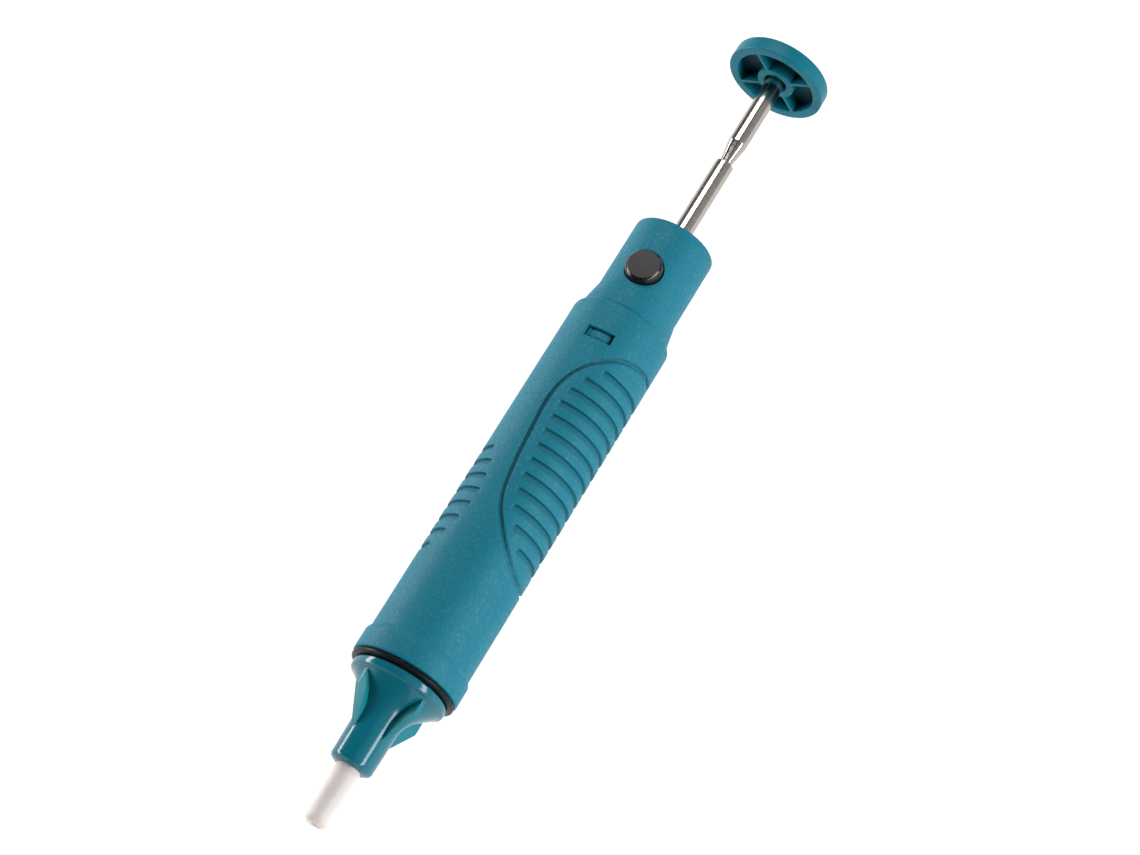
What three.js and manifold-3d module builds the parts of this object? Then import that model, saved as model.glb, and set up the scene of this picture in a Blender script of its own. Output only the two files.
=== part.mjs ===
// Desoldering pump, lying on its side. Millimetres, +X towards the knob, +Z up through the release button.
import * as THREE from 'three';
import { mergeVertices } from 'three/addons/utils/BufferGeometryUtils.js';
import Module from 'manifold-3d';

const wasm = await Module();
wasm.setup();

// Driving dimensions
const fineSides = 36; // facets round the large turned parts
const smallSides = 20; // facets round the small turned parts
const barrelRadius = 12;
const collarRadius = 12.63;
const boreRadius = 10.4;
const barrelFront = -69.2;
const barrelEnd = 26.8;
const windowFront = 16.3; // snap windows for the end cap's tabs, at the top and the bottom
const windowRear = 19.09;
const windowHalfAngle = 16.5;
const tipEnd = -105.75;
const knobBack = 105.75;
const knobFront = 101.82;
const knobRadius = 12.07;
const rodRadius = 2.3;
const rodBore = rodRadius + 0.25; // holes the rod runs or is pressed through
const neckRadius = 9.85;
const neckEnd = 51.85;
const buttonX = 38.3;
const buttonRadius = 4.35;
const buttonTop = 11.4;
const noseFront = -91.15;
const flangeFront = -72.65;
const flangeRear = -70.55;
const spigotRadius = 9.9;
const spigotEnd = -61;
const seatX = -66.6; // step in the nose that the main spring bears on
const threadPitch = 4;
const pistonFront = -13.4;
const pistonRear = -3.4;
const gap = 0.2; // running clearance between neighbouring pieces
const axisHeight = collarRadius * Math.cos(Math.PI / fineSides);

// Grip pattern
const groovePitch = 3.754;
const grooveWidth = 1.7;
const grooveDepth = 0.6;
const panelFirst = -34.15; // knob-side wall of the first groove on the -Y panel
const panelGrooves = 13;
const panelInset = 1.9; // land between the border channel and the groove ends
const patchFirst = -41.65;
const patchGrooves = 8;
const patchCentre = -28.55;
const patchHalfLength = 18.3;
const patchHalfAngle = 69;
// Border channel, one half: place along the barrel and angle from the middle of the panel
const panelOutline = [
  [-39.9, 0], [-39.05, 28], [-34.95, 57.7], [-27.85, 81.8], [-19.25, 91.3], [-10.15, 95.8],
  [-1.15, 98.8], [4.85, 93.6], [9.85, 79.6], [13.85, 57.7], [15.75, 33.8], [16.4, 0],
];

const radians = THREE.MathUtils.degToRad;

// Solids

function solidOf(geometry) {
  const bare = geometry.index ? geometry.toNonIndexed() : geometry.clone();
  bare.deleteAttribute('normal');
  bare.deleteAttribute('uv');
  const merged = mergeVertices(bare, 1e-4);
  const triVerts = new Uint32Array(merged.index.array);
  const vertProperties = new Float32Array(merged.attributes.position.array);
  const solid = new wasm.Manifold(new wasm.Mesh({ numProp: 3, vertProperties, triVerts }));
  if (solid.volume() > 0) return solid;
  for (let i = 0; i < triVerts.length; i += 3) triVerts.subarray(i, i + 2).reverse();
  return new wasm.Manifold(new wasm.Mesh({ numProp: 3, vertProperties, triVerts }));
}

// Turned about the X axis from [x, radius] points; a flat facet faces straight down
function turned(points, sides = fineSides) {
  const profile = [...points, points[0]].map(([x, r]) => new THREE.Vector2(r, x));
  return solidOf(new THREE.LatheGeometry(profile, sides, Math.PI / sides).rotateZ(-Math.PI / 2));
}

function rod(x0, x1, radius, sides = smallSides) {
  return turned([[x0, 0], [x0, radius], [x1, radius], [x1, 0]], sides);
}

function ring(x0, x1, inner, outer, sides = fineSides) {
  return turned([[x0, inner], [x0, outer], [x1, outer], [x1, inner]], sides);
}

function roundRing(x, meanRadius, wire, sides = fineSides, section = 6) {
  const points = [];
  for (let i = 0; i < section; i += 1) {
    const a = (2 * Math.PI * (i + 0.5)) / section;
    points.push([x + wire * Math.cos(a), meanRadius + wire * Math.sin(a)]);
  }
  return turned(points, sides);
}

// Pie-shaped block round the X axis, angles counted from +Z towards -Y
function wedge(x0, x1, middle, half) {
  const reach = 1.4 * collarRadius / Math.max(0.35, Math.cos(radians(half / 2)));
  const shape = new THREE.Shape([new THREE.Vector2(0, 0)]);
  for (let i = -2; i <= 2; i += 1) {
    const a = radians(90 + middle + (half * i) / 2);
    shape.lineTo(reach * Math.cos(a), reach * Math.sin(a));
  }
  const block = new THREE.ExtrudeGeometry(shape, { depth: x1 - x0, bevelEnabled: false });
  const turn = new THREE.Matrix4().makeBasis(
    new THREE.Vector3(0, 1, 0), new THREE.Vector3(0, 0, 1), new THREE.Vector3(1, 0, 0));
  return solidOf(block.applyMatrix4(turn).translate(x0, 0, 0));
}

// Plate standing in the plane of the axis, from [x, radius] points, turned to an angle
function rib(points, thickness, angle) {
  const shape = new THREE.Shape(points.map(([x, r]) => new THREE.Vector2(x, r)));
  const plate = new THREE.ExtrudeGeometry(shape, { depth: thickness, bevelEnabled: false });
  plate.translate(0, 0, -thickness / 2).rotateX(Math.PI / 2).rotateX(radians(angle));
  return solidOf(plate);
}

// Round wire swept along a curve
function wireAlong(curve, radius, steps, sides) {
  const section = new THREE.Shape();
  for (let i = 0; i < sides; i += 1) {
    const a = (2 * Math.PI * i) / sides;
    const place = [radius * Math.cos(a), radius * Math.sin(a)];
    if (i === 0) section.moveTo(...place);
    else section.lineTo(...place);
  }
  const settings = { steps, extrudePath: curve, bevelEnabled: false };
  return new THREE.ExtrudeGeometry(section, settings);
}

class Helix extends THREE.Curve {
  constructor(x0, x1, radius, turns, startAngle = 0) {
    super();
    Object.assign(this, { x0, x1, radius, turns, startAngle });
  }

  getPoint(t, target = new THREE.Vector3()) {
    const a = this.startAngle + 2 * Math.PI * this.turns * t;
    const x = this.x0 + (this.x1 - this.x0) * t;
    return target.set(x, -this.radius * Math.sin(a), this.radius * Math.cos(a));
  }
}

// Round thread: the turn angle follows the place along the axis, so ridge and groove line up
function threadSolid(x0, x1, meanRadius, wire, sides) {
  const turns = (x1 - x0) / threadPitch;
  const start = (2 * Math.PI * (x0 - barrelFront)) / threadPitch;
  const helix = new Helix(x0, x1, meanRadius, turns, start);
  return solidOf(wireAlong(helix, wire, Math.round(turns * 18), sides));
}

// Materials

function material(color, roughness, metalness = 0) {
  return new THREE.MeshStandardMaterial({ color, roughness, metalness });
}

const finishes = {
  satinTeal: () => material('#1f8196', 0.5),
  glossTeal: () => material('#177a90', 0.2),
  blackRubber: () => material('#17181a', 0.6),
  blackPlastic: () => material('#2a2a2c', 0.45),
  whitePlastic: () => material('#eeeeea', 0.4),
  greyPlastic: () => material('#8d9499', 0.5),
  steel: () => material('#c4c6ca', 0.2, 1),
  springSteel: () => material('#8d8f93', 0.35, 1),
  brass: () => material('#b79a55', 0.3, 1),
};

const pump = new THREE.Group();
pump.position.z = axisHeight;

function place(name, solid, finish) {
  const { numProp, vertProperties, triVerts } = solid.getMesh();
  const geometry = new THREE.BufferGeometry();
  geometry.setAttribute('position', new THREE.BufferAttribute(new Float32Array(vertProperties), numProp));
  geometry.setIndex(new THREE.BufferAttribute(new Uint32Array(triVerts), 1));
  geometry.computeVertexNormals();
  const mesh = new THREE.Mesh(geometry, finishes[finish]());
  mesh.name = name;
  pump.add(mesh);
  return mesh;
}

// Barrel

class PanelBorder extends THREE.Curve {
  constructor() {
    super();
    const half = panelOutline.map(([x, angle]) => new THREE.Vector3(x, angle, 0));
    const back = half.slice(1, -1).reverse().map((p) => new THREE.Vector3(p.x, -p.y, 0));
    this.flat = new THREE.CatmullRomCurve3([...half, ...back], true);
  }

  getPoint(t, target = new THREE.Vector3()) {
    const { x, y } = this.flat.getPoint(t);
    const a = radians(90 + y);
    return target.set(x, -barrelRadius * Math.sin(a), barrelRadius * Math.cos(a));
  }

  // Largest angle from the panel's middle that keeps the inset to the channel at this place
  reach(x) {
    const arc = radians(1) * barrelRadius;
    const rim = this.flat.getPoints(200);
    let angle = 100;
    const clear = () => rim.every((p) => Math.hypot(p.x - x, (p.y - angle) * arc) > panelInset);
    const inside = () => angle < this.edge(x, rim);
    while (angle > 0 && !(inside() && clear())) angle -= 0.5;
    return angle;
  }

  edge(x, rim) {
    const near = rim.filter((p) => p.y > 0).sort((a, b) => Math.abs(a.x - x) - Math.abs(b.x - x));
    return near[0].y;
  }
}

// One finger groove: a soft ramp on the nozzle side and a square wall on the knob side
function groove(wallX, middle, half) {
  const floor = barrelRadius - grooveDepth;
  const lift = barrelRadius + 1;
  const cut = turned([
    [wallX - grooveWidth, lift], [wallX - grooveWidth, barrelRadius - 0.04],
    [wallX - 0.4 * grooveWidth, floor], [wallX, floor], [wallX, lift],
  ]);
  return cut.intersect(wedge(wallX - grooveWidth - 1, wallX + 1, middle, half));
}

function barrelSolid() {
  let body = turned([
    [barrelFront, boreRadius], [barrelFront, collarRadius - 0.5], [barrelFront + 0.5, collarRadius],
    [-64, collarRadius], [-62.95, barrelRadius], [barrelEnd - 1.2, barrelRadius],
    [barrelEnd - 0.35, 11.65], [barrelEnd, 11.1], [barrelEnd, boreRadius],
  ]);
  body = body.subtract(threadSolid(barrelFront - threadPitch / 3, spigotEnd - 0.8, 10.2, 1.1, 6));
  for (const side of [0, 180]) {
    const window = ring(windowFront, windowRear, boreRadius - 1, barrelRadius + 1);
    body = body.subtract(window.intersect(wedge(windowFront - 1, windowRear + 1, side, windowHalfAngle)));
  }
  const border = new PanelBorder();
  body = body.subtract(solidOf(closedChannel(border)));
  for (let i = 0; i < panelGrooves; i += 1) {
    const wallX = panelFirst + groovePitch * i;
    body = body.subtract(groove(wallX, 90, border.reach(wallX - grooveWidth / 2)));
  }
  for (let i = 0; i < patchGrooves; i += 1) {
    const wallX = patchFirst + groovePitch * i;
    const along = (wallX - grooveWidth / 2 - patchCentre) / patchHalfLength;
    body = body.subtract(groove(wallX, -90, patchHalfAngle * Math.sqrt(1 - along * along)));
  }
  return body;
}

// Closed bead of square section that runs round the panel and is cut out of the barrel
function closedChannel(border, steps = 72) {
  const corners = [[-0.55, -0.35], [0.55, -0.35], [0.65, 0.6], [-0.65, 0.6]];
  const positions = [];
  const index = [];
  for (let i = 0; i < steps; i += 1) {
    const here = border.getPoint(i / steps);
    const ahead = border.getPoint(((i + 0.5) / steps) % 1);
    const behind = border.getPoint((i - 0.5 + steps) / steps % 1);
    const out = new THREE.Vector3(0, here.y, here.z).normalize();
    const across = ahead.sub(behind).cross(out).normalize();
    for (const [side, height] of corners) {
      const p = here.clone().addScaledVector(across, side).addScaledVector(out, height);
      positions.push(p.x, p.y, p.z);
    }
    for (let c = 0; c < 4; c += 1) {
      const [a, b] = [4 * i + c, 4 * i + ((c + 1) % 4)];
      const [d, e] = [4 * ((i + 1) % steps) + c, 4 * ((i + 1) % steps) + ((c + 1) % 4)];
      index.push(a, b, d, b, e, d);
    }
  }
  const geometry = new THREE.BufferGeometry();
  geometry.setAttribute('position', new THREE.Float32BufferAttribute(positions, 3));
  geometry.setIndex(index);
  return geometry;
}

place('barrel', barrelSolid(), 'satinTeal');

// Nose and nozzle

function noseSolid() {
  let body = turned([
    [noseFront, 3.1], [noseFront, 4.45], [noseFront + 0.5, 4.95], [-82.15, 5.05], [-80.15, 5.15],
    [-78.65, 5.5], [-77.35, 6.1], [-76.05, 6.9], [-74.75, 8.0], [-73.55, 9.2], [flangeFront, 10.2],
    [flangeFront + 0.15, 10.9], [flangeFront + 0.6, 11.3], [flangeRear, 11.3], [flangeRear, spigotRadius],
    [spigotEnd, spigotRadius], [spigotEnd, 8.4], [seatX, 8.4], [seatX, 6.6], [-73.4, 6.6],
    [-76.2, 5.2], [-79, 3.95], [noseFront + 1.75, 3.95], [noseFront + 1.75, 3.1],
  ]);
  body = body.add(threadSolid(-68.2, -62.2, 10.05, 0.75, 6));
  const fin = [
    [-84.4, 4.7], [-79, 4.75], [-76.3, 6.1], [-74, 8], [-72.3, 9], [-72.2, 10], [-76.7, 10],
  ];
  for (let i = 0; i < 4; i += 1) body = body.add(rib(fin, 1.1, 55.5 + 90 * i));
  return body;
}

place('nose', noseSolid(), 'glossTeal');
place('nozzle_tip', turned([
  [tipEnd, 1.1], [tipEnd, 2], [tipEnd + 0.3, 2.35], [tipEnd + 0.9, 2.5], [-103.65, 2.54],
  [noseFront, 2.9], [noseFront + 1.9, 2.9], [noseFront + 1.9, 3.7], [-87.4, 3.7], [-87.4, 1.1],
], smallSides), 'whitePlastic');
place('nozzle_o_ring', roundRing(-86.4, 2.9, 0.85, smallSides), 'blackRubber');
place('nose_o_ring', turned([
  [flangeRear + 0.1, 10.1], [flangeRear + 0.1, 11.4], [flangeRear + 0.3, 12.15],
  [(flangeRear + barrelFront) / 2, 12.45], [barrelFront - 0.3, 12.15], [barrelFront - 0.1, 11.4],
  [barrelFront - 0.1, 10.1],
]), 'blackRubber');
place('spring_seat_washer', ring(seatX + 0.1, seatX + 0.6, 6.4, 8.15), 'steel');

// End cap, with the button's shaft and the rod's bearing

function endCapSolid() {
  const sleeveFront = -1.4;
  const wallFront = neckEnd - 2;
  const shaftFoot = 4.4;
  const shaftTop = 7.5; // stays under the neck's skin where the shaft is widest
  const shaftRadius = 6;
  const holeRadius = buttonRadius + gap;
  let body = turned([
    [sleeveFront, 8.9], [sleeveFront, 10.2], [barrelEnd + 0.1, 10.2], [barrelEnd + 0.1, 11.05],
    [33.6, neckRadius], [neckEnd - 0.6, neckRadius], [neckEnd - 0.15, neckRadius - 0.2],
    [neckEnd, neckRadius - 0.6], [neckEnd, 3.4], [wallFront, 3.4], [wallFront, 8], [31, 8], [28, 8.9],
  ]);
  const shaft = new THREE.CylinderGeometry(shaftRadius, shaftRadius, shaftTop - shaftFoot, smallSides);
  shaft.rotateX(Math.PI / 2).translate(buttonX, 0, (shaftFoot + shaftTop) / 2);
  const hole = new THREE.CylinderGeometry(holeRadius, holeRadius, 12, smallSides);
  hole.rotateX(Math.PI / 2).translate(buttonX, 0, 10);
  body = body.add(solidOf(shaft)).subtract(solidOf(hole));
  for (const side of [0, 180]) {
    const tab = ring(windowFront + 0.3, windowRear - 0.3, 10, 11.2);
    body = body.add(tab.intersect(wedge(windowFront - 1, windowRear + 1, side, windowHalfAngle - 1.5)));
  }
  return body;
}

place('end_cap', endCapSolid(), 'satinTeal');
place('rod_bush', turned([
  [49.2, rodBore], [49.2, 4.6], [49.7, 4.6], [49.7, 3.2], [51.7, 3.2], [51.7, rodBore],
], smallSides), 'whitePlastic');
place('rod_wiper', ring(47.6, 49, rodBore, 4.2, smallSides), 'blackRubber');
place('bumper_ring', ring(pistonRear + 0.3, -1.55, 8.4, 10.1), 'blackRubber');

// Button and latch

function buttonSolid() {
  const profile = [
    [0, 5], [buttonRadius, 5], [buttonRadius, buttonTop - 1.2], [4.1, buttonTop - 0.5],
    [3.6, buttonTop], [0, buttonTop],
  ].map(([r, z]) => new THREE.Vector2(r, z));
  const cap = new THREE.LatheGeometry(profile, 24).rotateX(Math.PI / 2);
  return solidOf(cap.translate(buttonX, 0, 0));
}

// Steel plate with a slot that clears the rod, and a folded foot for the spring
function latchSolid() {
  const slotRadius = rodRadius + 0.4;
  const outline = new THREE.Shape([[-3.4, -4.2], [3.4, -4.2], [3.4, 4.8], [-3.4, 4.8]]
    .map(([y, z]) => new THREE.Vector2(y, z)));
  const slot = new THREE.Path();
  slot.absarc(0, 1.7, slotRadius, 0, Math.PI);
  slot.absarc(0, 0, slotRadius, Math.PI, 2 * Math.PI);
  outline.holes.push(slot);
  const plate = new THREE.ExtrudeGeometry(outline, { depth: 1, bevelEnabled: false, curveSegments: 8 });
  const turn = new THREE.Matrix4().makeBasis(
    new THREE.Vector3(0, 1, 0), new THREE.Vector3(0, 0, 1), new THREE.Vector3(1, 0, 0));
  const foot = new THREE.BoxGeometry(5.4, 5.4, 0.8).translate(buttonX, 0, -3.8);
  return solidOf(plate.applyMatrix4(turn).translate(buttonX - 0.5, 0, 0)).add(solidOf(foot));
}

function buttonSpringSolid() {
  const coil = wireAlong(new Helix(-3.85, -1.05, 1.9, 3.5), 0.2, 42, 6);
  return solidOf(coil.rotateY(-Math.PI / 2).translate(buttonX, 0, -3.6));
}

place('button', buttonSolid(), 'blackPlastic');
place('latch_plate', latchSolid(), 'steel');
place('button_spring', buttonSpringSolid(), 'springSteel');

// Plunger: piston, rod, cleaning pin and knob

const shoulderX = 76.25;
const waistRadius = 1.28;
const rodFront = -17.8;
const rodEnd = 104.8;
const studRadius = 1.5;

place('plunger_rod', turned([
  [rodFront, 0], [rodFront, studRadius], [pistonRear + 0.3, studRadius], [pistonRear + 0.3, rodRadius],
  [shoulderX - 0.3, rodRadius], [shoulderX, rodRadius - 0.25], [shoulderX, waistRadius],
  [shoulderX + 6.3, rodRadius], [rodEnd, rodRadius], [rodEnd, 0],
], smallSides), 'steel');
place('cleaning_pin', turned([
  [-66.7, 0], [-66.7, 0.35], [-65.7, 0.75], [rodFront - 0.1, 0.75], [rodFront - 0.1, 0],
], 12), 'steel');

function pistonSolid() {
  const studHole = studRadius + gap;
  return turned([
    [pistonFront, 10.1], [-12.1, 10.1], [-12.1, 8.4], [-10.3, 8.4], [-10.3, 10.1], [-6.5, 10.1],
    [-6.5, 8.4], [-4.7, 8.4], [-4.7, 10.1], [pistonRear, 10.1], [pistonRear, studHole],
    [pistonFront - 1, studHole], [pistonFront - 1, 5.6], [pistonFront, 5.6],
  ]);
}

place('piston', pistonSolid(), 'greyPlastic');
place('piston_ring_front', roundRing(-11.2, 9.42, 0.8), 'blackRubber');
place('piston_ring_rear', roundRing(-5.6, 9.42, 0.8), 'blackRubber');
place('piston_washer', ring(-15.2, -14.6, studRadius + gap, 4.2, smallSides), 'steel');
const nut = rod(-17.5, -15.3, 4, 6).subtract(rod(-18, -15, studRadius + gap));
place('piston_nut', nut, 'brass');

function knobSolid() {
  const pocketFloor = knobBack - 0.75;
  let body = turned([
    [knobFront, 9.8], [knobFront, knobRadius - 0.3], [knobFront + 0.3, knobRadius],
    [knobBack - 0.5, knobRadius], [knobBack, knobRadius - 0.45], [knobBack, 0], [pocketFloor + 0.05, 0],
    [pocketFloor + 0.05, rodBore], [knobFront + 0.6, rodBore], [knobFront, rodBore + 0.3],
    [knobFront, 4.63], [pocketFloor, 4.63], [pocketFloor, 9.8],
  ]);
  const spoke = [[knobFront, 4.3], [knobFront, 10], [pocketFloor + 0.3, 10], [pocketFloor + 0.3, 4.3]];
  for (let i = 0; i < 4; i += 1) body = body.add(rib(spoke, 0.8, 63.4 + 90 * i));
  return body;
}

place('knob', knobSolid(), 'glossTeal');

const springTurns = 13;
const springWire = 0.45;
const mainHelix = new Helix(seatX + 0.7 + springWire, pistonFront - 0.15 - springWire, 7.3, springTurns);
place('main_spring', solidOf(wireAlong(mainHelix, springWire, springTurns * 12, 5)), 'springSteel');

export default pump;
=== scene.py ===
import bpy
import bmesh
import math
import numpy as np
from mathutils import Matrix, Quaternion, Vector


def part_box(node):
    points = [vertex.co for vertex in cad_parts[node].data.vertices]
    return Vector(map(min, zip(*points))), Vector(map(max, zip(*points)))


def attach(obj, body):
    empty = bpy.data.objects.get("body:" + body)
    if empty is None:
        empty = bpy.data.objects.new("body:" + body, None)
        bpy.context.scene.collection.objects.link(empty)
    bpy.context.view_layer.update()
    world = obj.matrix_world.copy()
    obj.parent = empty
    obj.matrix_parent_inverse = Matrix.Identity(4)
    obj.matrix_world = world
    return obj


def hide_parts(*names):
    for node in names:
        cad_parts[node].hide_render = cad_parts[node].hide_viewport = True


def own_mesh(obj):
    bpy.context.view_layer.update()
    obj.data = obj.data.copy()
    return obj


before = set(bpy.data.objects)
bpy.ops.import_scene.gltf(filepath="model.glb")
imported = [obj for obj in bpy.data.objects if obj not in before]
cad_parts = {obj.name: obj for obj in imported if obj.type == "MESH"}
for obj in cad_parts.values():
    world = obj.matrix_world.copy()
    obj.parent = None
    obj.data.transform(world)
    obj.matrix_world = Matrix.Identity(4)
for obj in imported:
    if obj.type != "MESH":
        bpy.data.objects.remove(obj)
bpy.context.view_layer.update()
mm = 0.001
knobLow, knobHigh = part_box("knob")
axisHeight = (knobLow[2] + knobHigh[2]) / 2 / mm  # everything is turned about this line
scene = bpy.context.scene
scene.view_settings.view_transform = "Standard"


def nodeX(node):  # where a CAD node starts and ends along the pump, in mm
    low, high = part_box(node)
    return low[0] / mm, high[0] / mm


# Meshes

def onAxis(x, radius, angle):  # angle in degrees, counted from the top towards -Y
    a = math.radians(angle)
    return Vector((x, -radius * math.sin(a), axisHeight + radius * math.cos(a))) * mm


def softened(profile, closed):  # corners given as (x, r, fillet) become arcs
    outline = []
    for i, corner in enumerate(profile):
        here = Vector(corner[:2])
        fillet = corner[2] if len(corner) > 2 else 0
        if fillet == 0 or (not closed and i in (0, len(profile) - 1)):
            outline.append(here)
            continue
        before = Vector(profile[i - 1][:2]) - here
        after = Vector(profile[(i + 1) % len(profile)][:2]) - here
        half = before.angle(after) / 2
        reach = min(fillet / math.tan(half), 0.49 * before.length, 0.49 * after.length)
        middle = here + (before.normalized() + after.normalized()).normalized() * reach / math.cos(half)
        start = here + before.normalized() * reach - middle
        end = here + after.normalized() * reach - middle
        turn = math.atan2(start.x * end.y - start.y * end.x, start.dot(end))
        steps = max(2, math.ceil(abs(turn) / math.radians(14)))
        for k in range(steps + 1):
            a = turn * k / steps
            spoke = Vector((start.x * math.cos(a) - start.y * math.sin(a),
                            start.x * math.sin(a) + start.y * math.cos(a)))
            outline.append(middle + spoke)
    return outline


def makePiece(name, mesh, material, sharp=32):
    tidy = bmesh.new()
    tidy.from_mesh(mesh)
    bmesh.ops.remove_doubles(tidy, verts=tidy.verts, dist=1e-8)
    bmesh.ops.recalc_face_normals(tidy, faces=tidy.faces)
    tidy.to_mesh(mesh)
    tidy.free()
    mesh.shade_smooth()
    mesh.set_sharp_from_angle(angle=math.radians(sharp))
    mesh.materials.clear()
    mesh.materials.append(material)
    piece = bpy.data.objects.new(name, mesh)
    scene.collection.objects.link(piece)
    return piece


def turned(name, profile, material, sides=160, upright=None, sharp=32):
    closed = profile[0][1] > 0
    outline = softened(profile, closed)
    points, rings = [], []
    for p in outline:
        if p.y < 1e-6:
            rings.append([len(points)] * sides)
            points.append(onAxis(p.x, 0, 0))
            continue
        rings.append(list(range(len(points), len(points) + sides)))
        points += [onAxis(p.x, p.y, 360 * k / sides) for k in range(sides)]
    faces = []
    pairs = list(zip(rings, rings[1:] + rings[:1])) if closed else list(zip(rings, rings[1:]))
    for ring, following in pairs:
        for k in range(sides):
            n = (k + 1) % sides
            corners = [ring[k], ring[n], following[n], following[k]]
            faces.append(list(dict.fromkeys(corners)))
    mesh = bpy.data.meshes.new(name)
    mesh.from_pydata(points, [], [f for f in faces if len(f) > 2])
    if upright is not None:  # the profile's x becomes the height over the pump's axis at this x
        stand = Matrix(((0, 0, 1, upright * mm), (0, 1, 0, 0), (1, 0, 0, axisHeight * mm), (0, 0, 0, 1)))
        mesh.transform(stand @ Matrix.Translation((0, 0, -axisHeight * mm)))
    return makePiece(name, mesh, material, sharp)


def baked(piece, sharp=32):  # turns what the modifiers give into the piece's own mesh
    graph = bpy.context.evaluated_depsgraph_get()
    mesh = bpy.data.meshes.new_from_object(piece.evaluated_get(graph))
    piece.modifiers.clear()
    piece.data = mesh
    mesh.shade_smooth()
    mesh.set_sharp_from_angle(angle=math.radians(sharp))
    return piece


def plate(name, outline, thickness, material, bevel):
    # flat plate standing on the axis, corners (x, r, fillet)
    flat = softened(outline, True)
    shape = bmesh.new()
    corners = [shape.verts.new(Vector((p.x, -thickness / 2, p.y)) * mm) for p in flat]
    face = shape.faces.new(corners)
    grown = bmesh.ops.extrude_face_region(shape, geom=[face])["geom"]
    moved = [v for v in grown if isinstance(v, bmesh.types.BMVert)]
    bmesh.ops.translate(shape, verts=moved, vec=(0, thickness * mm, 0))
    shape.normal_update()
    rim = [e for e in shape.edges if e.calc_face_angle(0) > 1]
    bmesh.ops.bevel(shape, geom=rim, offset=bevel * mm, segments=3, affect="EDGES", profile=0.5)
    mesh = bpy.data.meshes.new(name)
    shape.to_mesh(mesh)
    shape.free()
    return makePiece(name, mesh, material)


# Node trees

def addNode(tree, kind, settings={}, inputs={}):
    node = tree.nodes.new(kind)
    for field, value in settings.items():
        setattr(node, field, value)
    for socket, value in inputs.items():
        if isinstance(value, bpy.types.NodeSocket):
            tree.links.new(value, node.inputs[socket])
        else:
            node.inputs[socket].default_value = value
    return node


def startTree(name, inputs):  # a geometry tree with named inputs: {name: socket type}
    tree = bpy.data.node_groups.new(name, "GeometryNodeTree")
    tree.interface.new_socket("Geometry", in_out="OUTPUT", socket_type="NodeSocketGeometry")
    tree.interface.new_socket("Geometry", in_out="INPUT", socket_type="NodeSocketGeometry")
    for label, kind in inputs.items():
        tree.interface.new_socket(label, in_out="INPUT", socket_type=kind)
    return tree, tree.nodes.new("NodeGroupInput").outputs


def endTree(tree, geometry, material):
    real = addNode(tree, "GeometryNodeRealizeInstances", inputs={"Geometry": geometry})
    painted = addNode(tree, "GeometryNodeSetMaterial",
                      inputs={"Geometry": real.outputs["Geometry"], "Material": material})
    addNode(tree, "NodeGroupOutput", inputs={"Geometry": painted.outputs["Geometry"]})


def runTree(piece, tree, values, sharp=32):
    modifier = piece.modifiers.new(tree.name, "NODES")
    modifier.node_group = tree
    for item in tree.interface.items_tree:
        if item.in_out == "INPUT" and item.name in values:
            modifier[item.identifier] = values[item.name]
    return baked(piece, sharp)


def roundRowTree():  # copies of a piece spaced evenly round the pump's axis
    tree, given = startTree("roundRow", {"Count": "NodeSocketInt", "Start Angle": "NodeSocketFloat",
                                         "Axis Height": "NodeSocketFloat", "Material": "NodeSocketMaterial"})
    spot = addNode(tree, "ShaderNodeCombineXYZ", inputs={"Z": given["Axis Height"]})
    row = addNode(tree, "GeometryNodeMeshLine",
                  inputs={"Count": given["Count"], "Start Location": spot.outputs[0],
                                                        "Offset": (0, 0, 0)})
    index = addNode(tree, "GeometryNodeInputIndex")
    step = addNode(tree, "ShaderNodeMath", {"operation": "DIVIDE"}, {0: 2 * math.pi, 1: given["Count"]})
    turn = addNode(tree, "ShaderNodeMath", {"operation": "MULTIPLY_ADD"},
                   {0: index.outputs[0], 1: step.outputs[0], 2: given["Start Angle"]})
    spin = addNode(tree, "ShaderNodeCombineXYZ", inputs={"X": turn.outputs[0]})
    copies = addNode(tree, "GeometryNodeInstanceOnPoints",
                     inputs={"Points": row.outputs["Mesh"], "Instance": given["Geometry"],
                             "Rotation": spin.outputs[0]})
    endTree(tree, copies.outputs["Instances"], given["Material"])
    return tree


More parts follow.
